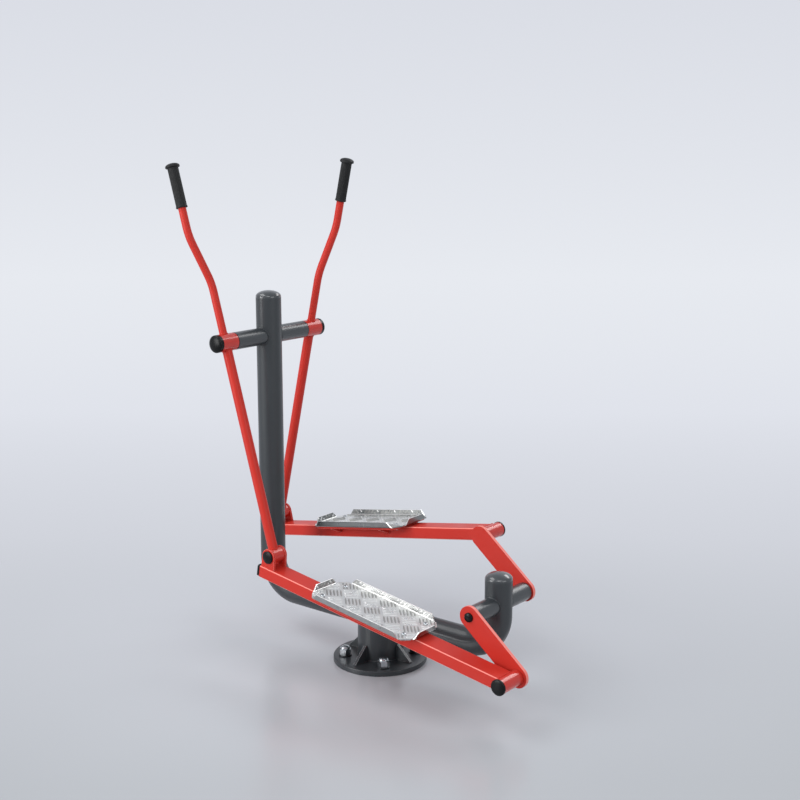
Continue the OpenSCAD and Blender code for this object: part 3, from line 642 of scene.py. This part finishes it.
for side in SIDES:
    matrix, _ = beam_frame(side)
    for group in tread_lit_and_shaded:
        bm = bmesh.new()
        angle = -group * math.pi / 4
        step_x, step_y = -math.sin(angle) * BAR_PITCH, math.cos(angle) * BAR_PITCH
        for i in range(-TREAD_REACH, TREAD_REACH + 1):
            for j in range(-TREAD_REACH, TREAD_REACH + 1):
                cx, cy = i * TREAD_PITCH / 2 + TREAD_X, j * TREAD_PITCH / 2 + TREAD_Y
                if (i + j) % 2 or (1 if i % 2 else -1) != group:
                    continue
                if abs(cx) > PLATE_L / 2 + TREAD_PAST or abs(cy) > PLATE_W / 2 + TREAD_PAST:
                    continue
                for k in GROUP:
                    tread_bar(bm, cx + step_x * k, cy + step_y * k, angle)
        name = "raised" if group < 0 else "crossing"
        piece(f"tread_{name}_{side}", bm, "chequer", f"beam_{side}", finish=tread_lit_and_shaded[group], sharp=50,
              matrix=matrix @ Matrix.Translation((PLATE_X, 0, PLATE_Z)))

# Screws and nuts

ANCHORS = 4
ANCHOR_AF = 0.036
ANCHOR_H = 0.022
CHAMFER = math.radians(30)
HEX_FLAT = 0.97  # share of the half width that a hexagon's flat ends take up
HEX_POINTS = 48
DOME_R = 0.0165
DOME_RIM = 0.001
DOME_RISE = 0.008
DOME_TIP_R = 0.0008
SCREW_HEAD_R = 0.0075
SCREW_HEAD_H = 0.0045
SCREW_HEAD_RIM = 0.0006
SCREW_SHANK_R = 0.004
SCREW_SHANK_L = 0.018
SOCKET_AF = 0.005
SOCKET_MOUTH_R = 0.0036
SOCKET_FLOOR = 0.0012
SOCKET_DISH = 0.0006
SOCKET_TIP_R = 0.0005
SOCKET_WALL = -1  # stands in a profile for the hexagon's radius


def hex_radius(flats, a):
    """Radius of a hexagon of that width across its flats, at an angle from a flat's middle."""
    wedge = math.pi / 3
    return flats / 2 / math.cos((a + wedge / 2) % wedge - wedge / 2)


def hex_body(bm, flats, height, at):
    """A hexagon whose corners are chamfered top and bottom."""
    flat_r = flats / 2 * HEX_FLAT
    rings = []
    for level, way, full in ((0.0, 1, False), (0.0, 1, True), (height, -1, True), (height, -1, False)):
        ring = []
        for a in arc(HEX_POINTS):
            r = hex_radius(flats, a) if full else flat_r
            drop = max(0.0, r - flat_r) * math.tan(CHAMFER)
            ring.append(at @ Vector((r * math.cos(a), r * math.sin(a), level + way * drop)))
        rings.append(ring)
    skin(bm, rings)


bm = bmesh.new()
for k in range(ANCHORS):
    a = math.pi / 4 + QUARTER * k
    at = Matrix.Translation((ANCHOR_PCD / 2 * math.cos(a), ANCHOR_PCD / 2 * math.sin(a),
                             FLANGE_T + WASHER_T)) @ Matrix.Rotation(a, 4, "Z")
    hex_body(bm, ANCHOR_AF, ANCHOR_H, at)
    dome = [(DOME_R * 0.99, -0.002), (DOME_R, 0.0)]
    dome += [(DOME_R * math.cos(t), DOME_RIM + DOME_RISE * math.sin(t)) for t in arc(10, 0, QUARTER)]
    dome += [(DOME_TIP_R, DOME_RIM + DOME_RISE)]
    lathe(bm, [(r, ANCHOR_H + z) for r, z in dome], at)
piece("anchor_nuts_detail", bm, "zinc", "frame", replaces=("anchor_nuts",), sharp=28)


def socket(r, a, z):
    """The radius of a screw's head, with a hexagonal socket in it."""
    return hex_radius(SOCKET_AF, a) if r == SOCKET_WALL else r


head = [(SCREW_HEAD_R * 0.97, 0.0), (SCREW_HEAD_R, SCREW_HEAD_RIM)]
head += [(SCREW_HEAD_R * math.cos(t) + SCREW_HEAD_RIM,
          SOCKET_FLOOR + (SCREW_HEAD_H - SOCKET_FLOOR) * math.sin(t)) for t in arc(8, 0, QUARTER)[1:6]]
head += [(SOCKET_MOUTH_R, SCREW_HEAD_H), (SOCKET_WALL, SCREW_HEAD_H),
         (SOCKET_WALL, SOCKET_FLOOR + SOCKET_DISH), (SOCKET_TIP_R, SOCKET_FLOOR)]
for side in SIDES:
    matrix, _ = beam_frame(side)
    bm = bmesh.new()
    for sx in (-1, 1):
        for sy in (-1, 1):
            at = Matrix.Translation((PLATE_X + sx * SCREW_L / 2, sy * SCREW_W / 2, PLATE_Z + PLATE_T))
            lathe(bm, head, at, around=36, radial=socket)
            lathe(bm, [(SCREW_SHANK_R, -SCREW_SHANK_L), (SCREW_SHANK_R, 0.0)], at, around=24)
    piece(f"plate_screws_detail_{side}", bm, "zinc", f"beam_{side}", matrix,
          replaces=(f"plate_screws_{side}",), sharp=35)

# Grips

GRIP_R = 0.0185
GRIP_FLANGE_R = 0.0245
GRIP_FLANGE_H = 0.015
GRIP_CROWN = 0.010
GRIP_RING_R = 0.01975
GRIP_RING_H = 0.006
GRIP_EDGE = 0.002
GRIP_TIP_R = 0.0004
GRIP_BORE_GAP = 0.0002
GRIP_ROOT = 0.0004  # how far the body widens at the ring
GRIP_ROOT_H = 0.001
GRIP_NECK = 0.0006  # how far it widens under the flange
FLUTES = 26
FLUTE_DEPTH = 0.0007
FLUTE_STEPS = 12
FLUTE_POINTS = 8
FLUTE_END = 0.003
FLUTE_LOW = GRIP_RING_H + FLUTE_END
FLUTE_HIGH = GRIP_LEN - GRIP_FLANGE_H - FLUTE_END


def grip_profile():
    """Radius and height up the grip: ring, fluted body, flange with an elliptical crown."""
    out = [(HANDLE_R + GRIP_BORE_GAP, 0.0)]
    for z, start in ((GRIP_EDGE, 0), (GRIP_RING_H - GRIP_EDGE, QUARTER)):
        out += [(GRIP_RING_R - GRIP_EDGE + GRIP_EDGE * math.sin(start + t),
                 z - GRIP_EDGE * math.cos(start + t)) for t in arc(6, 0, QUARTER)]
    out += [(GRIP_R + GRIP_ROOT, GRIP_RING_H), (GRIP_R, GRIP_RING_H + GRIP_ROOT_H)]
    out += [(GRIP_R, FLUTE_LOW + (FLUTE_HIGH - FLUTE_LOW) * i / FLUTE_STEPS)
            for i in range(FLUTE_STEPS + 1)]
    flange = GRIP_LEN - GRIP_FLANGE_H
    out += [(GRIP_R, flange - GRIP_ROOT_H), (GRIP_R + GRIP_NECK, flange)]
    rim = GRIP_FLANGE_R - GRIP_EDGE
    out += [(rim + GRIP_EDGE * math.sin(t), flange + GRIP_EDGE * (1 - math.cos(t)))
            for t in arc(6, 0, QUARTER)]
    out += [(GRIP_FLANGE_R * math.cos(t), GRIP_LEN - GRIP_CROWN * (1 - math.sin(t)))
            for t in arc(14, 0, QUARTER * 0.999)]
    return out + [(GRIP_TIP_R, GRIP_LEN)]


def flute(r, a, z):
    """The grip's radius, with narrow grooves along its body."""
    if abs(r - GRIP_R) > 1e-6 or not FLUTE_LOW < z < FLUTE_HIGH:
        return r
    return r - FLUTE_DEPTH * (0.5 + 0.5 * math.cos(FLUTES * a)) ** 3


for side in SIDES:
    bm = bmesh.new()
    lathe(bm, grip_profile(), Matrix.Translation((0, HANDLE_OUT, GRIP_TOP - GRIP_LEN)),
          around=FLUTES * FLUTE_POINTS, radial=flute)
    piece(f"grip_detail_{side}", bm, "grip_rubber", f"lever_{side}", lever_frame(side),
          replaces=(f"grip_{side}",), sharp=40)

# Camera

scene = bpy.context.scene
camera = bpy.data.objects.new("camera", bpy.data.cameras.new("camera"))
camera.data.lens = LENS
camera.data.sensor_width = SENSOR
camera.location = CAMERA_AT
camera.rotation_euler = (CAMERA_TO - CAMERA_AT).to_track_quat("-Z", "Y").to_euler()
camera.data.clip_end = SEES_TO
scene.collection.objects.link(camera)
scene.camera = camera

# Stage: one sheet that is floor, sweep and wall, square to the camera's view

FLOOR_FRONT = -9.0
FLOOR_BACK = 5.5
SWEEP_R = 5.0
SWEEP_STEPS = 24
WALL_TOP = 12.0
HALF_WIDTH = 16.0
ahead = Vector((CAMERA_TO.x - CAMERA_AT.x, CAMERA_TO.y - CAMERA_AT.y, 0)).normalized()
across = Vector((-ahead.y, ahead.x, 0))
run = [(FLOOR_FRONT, 0.0), (FLOOR_BACK, 0.0)]
run += [(FLOOR_BACK + SWEEP_R * math.sin(t), SWEEP_R * (1 - math.cos(t)))
        for t in (QUARTER * i / SWEEP_STEPS for i in range(1, SWEEP_STEPS + 1))]
run += [(FLOOR_BACK + SWEEP_R, WALL_TOP)]
bm = bmesh.new()
rows = [[bm.verts.new(ahead * d + across * s * HALF_WIDTH + Vector((0, 0, z))) for s in (-1, 1)]
        for d, z in run]
for a, b in zip(rows, rows[1:]):
    bm.faces.new((a[0], b[0], b[1], a[1]))
bmesh.ops.recalc_face_normals(bm, faces=bm.faces)
mesh = bpy.data.meshes.new("backdrop")
bm.to_mesh(mesh)
bm.free()
mesh.shade_smooth()
backdrop = bpy.data.objects.new("backdrop", mesh)
scene.collection.objects.link(backdrop)

# How far along the sheet each tone stands: distance behind the origin plus height
TONES = [(-0.9, (187, 191, 197)), (1.4, (209, 212, 220)), (4.0, (224, 227, 235)), (8.0, (231, 234, 240)),
         (13.0, (219, 222, 230))]
TONE_LOW, TONE_HIGH = -2.0, 16.0
# How far from the origin the tones begin to be shown as they are written, and are fully so
SHOWN_FROM, SHOWN_FULL = 0.3, 1.9
PAPER_ROUGHNESS = 0.24
PAPER_IOR = 1.8

paper = bpy.data.materials.new("backdrop")
tree = Nodes(paper)
place = tree.add("ShaderNodeTexCoord")["Object"]
depth = tree.vector("DOT_PRODUCT", place, ahead + Vector((0, 0, 1)))
tones = tree.nodes.new("ShaderNodeValToRGB")
stops = tones.color_ramp.elements
while len(stops) < len(TONES):
    stops.new(0.5)
for stop, (along, tone) in zip(stops, TONES):
    stop.position = (along - TONE_LOW) / (TONE_HIGH - TONE_LOW)
    stop.color = srgb(*tone)
tone = tree.fill(tones, {"Fac": tree.ramp(depth, TONE_LOW, TONE_HIGH)})["Color"]
lit = tree.fill(tree.nodes["Principled BSDF"],
                {"Base Color": tone, "Roughness": PAPER_ROUGHNESS, "IOR": PAPER_IOR})["BSDF"]
# Away from the object the camera and mirror-like surfaces see the tones as they are written
glow = tree.add("ShaderNodeEmission", {"Color": tone})["Emission"]
share = tree.ramp(tree.vector("LENGTH", place), SHOWN_FROM, SHOWN_FULL, interpolation_type="SMOOTHSTEP")
shown = tree.scalar("MULTIPLY", tree.seen_rays(), share)
tree.fill(tree.nodes["Material Output"], {"Surface": tree.mix_shaders(shown, lit, glow)})
mesh.materials.append(paper)

# Light: where each softbox stands, what it points at, its width, height and power in watts
SOFTBOXES = {
    "back_strip": ((0.9, 6.5, 6.0), (0, 0, 0.5), 5.0, 2.0, 170),
    "left_strip": ((-3.2, -2.6, 6.6), (0, 0, 0.4), 5.5, 3.0, 190),
    "right_strip": ((3.8, -4.7, 6.3), (0.3, 0, 0.3), 4.5, 1.6, 150),
    "front": ((-2.4, -4.8, 1.9), (0, 0, 0.7), 2.6, 3.0, 150),
    "right": ((4.8, -0.6, 2.2), (0, 0, 0.7), 2.5, 2.5, 45),
}
for name, (at, to, width, height, power) in SOFTBOXES.items():
    light = bpy.data.lights.new(name, "AREA")
    light.shape = "RECTANGLE"
    light.size, light.size_y = width, height
    light.energy = power
    softbox = bpy.data.objects.new(name, light)
    softbox.location = at
    softbox.rotation_euler = (Vector(to) - Vector(at)).to_track_quat("-Z", "Y").to_euler()
    scene.collection.objects.link(softbox)

SKY = srgb(246, 247, 250)
SKY_STRENGTH = 0.30
SKY_SHOWN = srgb(196, 200, 207)
world = bpy.data.worlds.new("world")
scene.world = world
tree = Nodes(world)
sky = tree.fill(tree.nodes["Background"], {"Color": SKY, "Strength": SKY_STRENGTH})["Background"]
shown = tree.add("ShaderNodeBackground", {"Color": SKY_SHOWN})["Background"]
tree.fill(tree.nodes["World Output"], {"Surface": tree.mix_shaders(tree.seen_rays(), sky, shown)})
scene.view_settings.view_transform = "Standard"
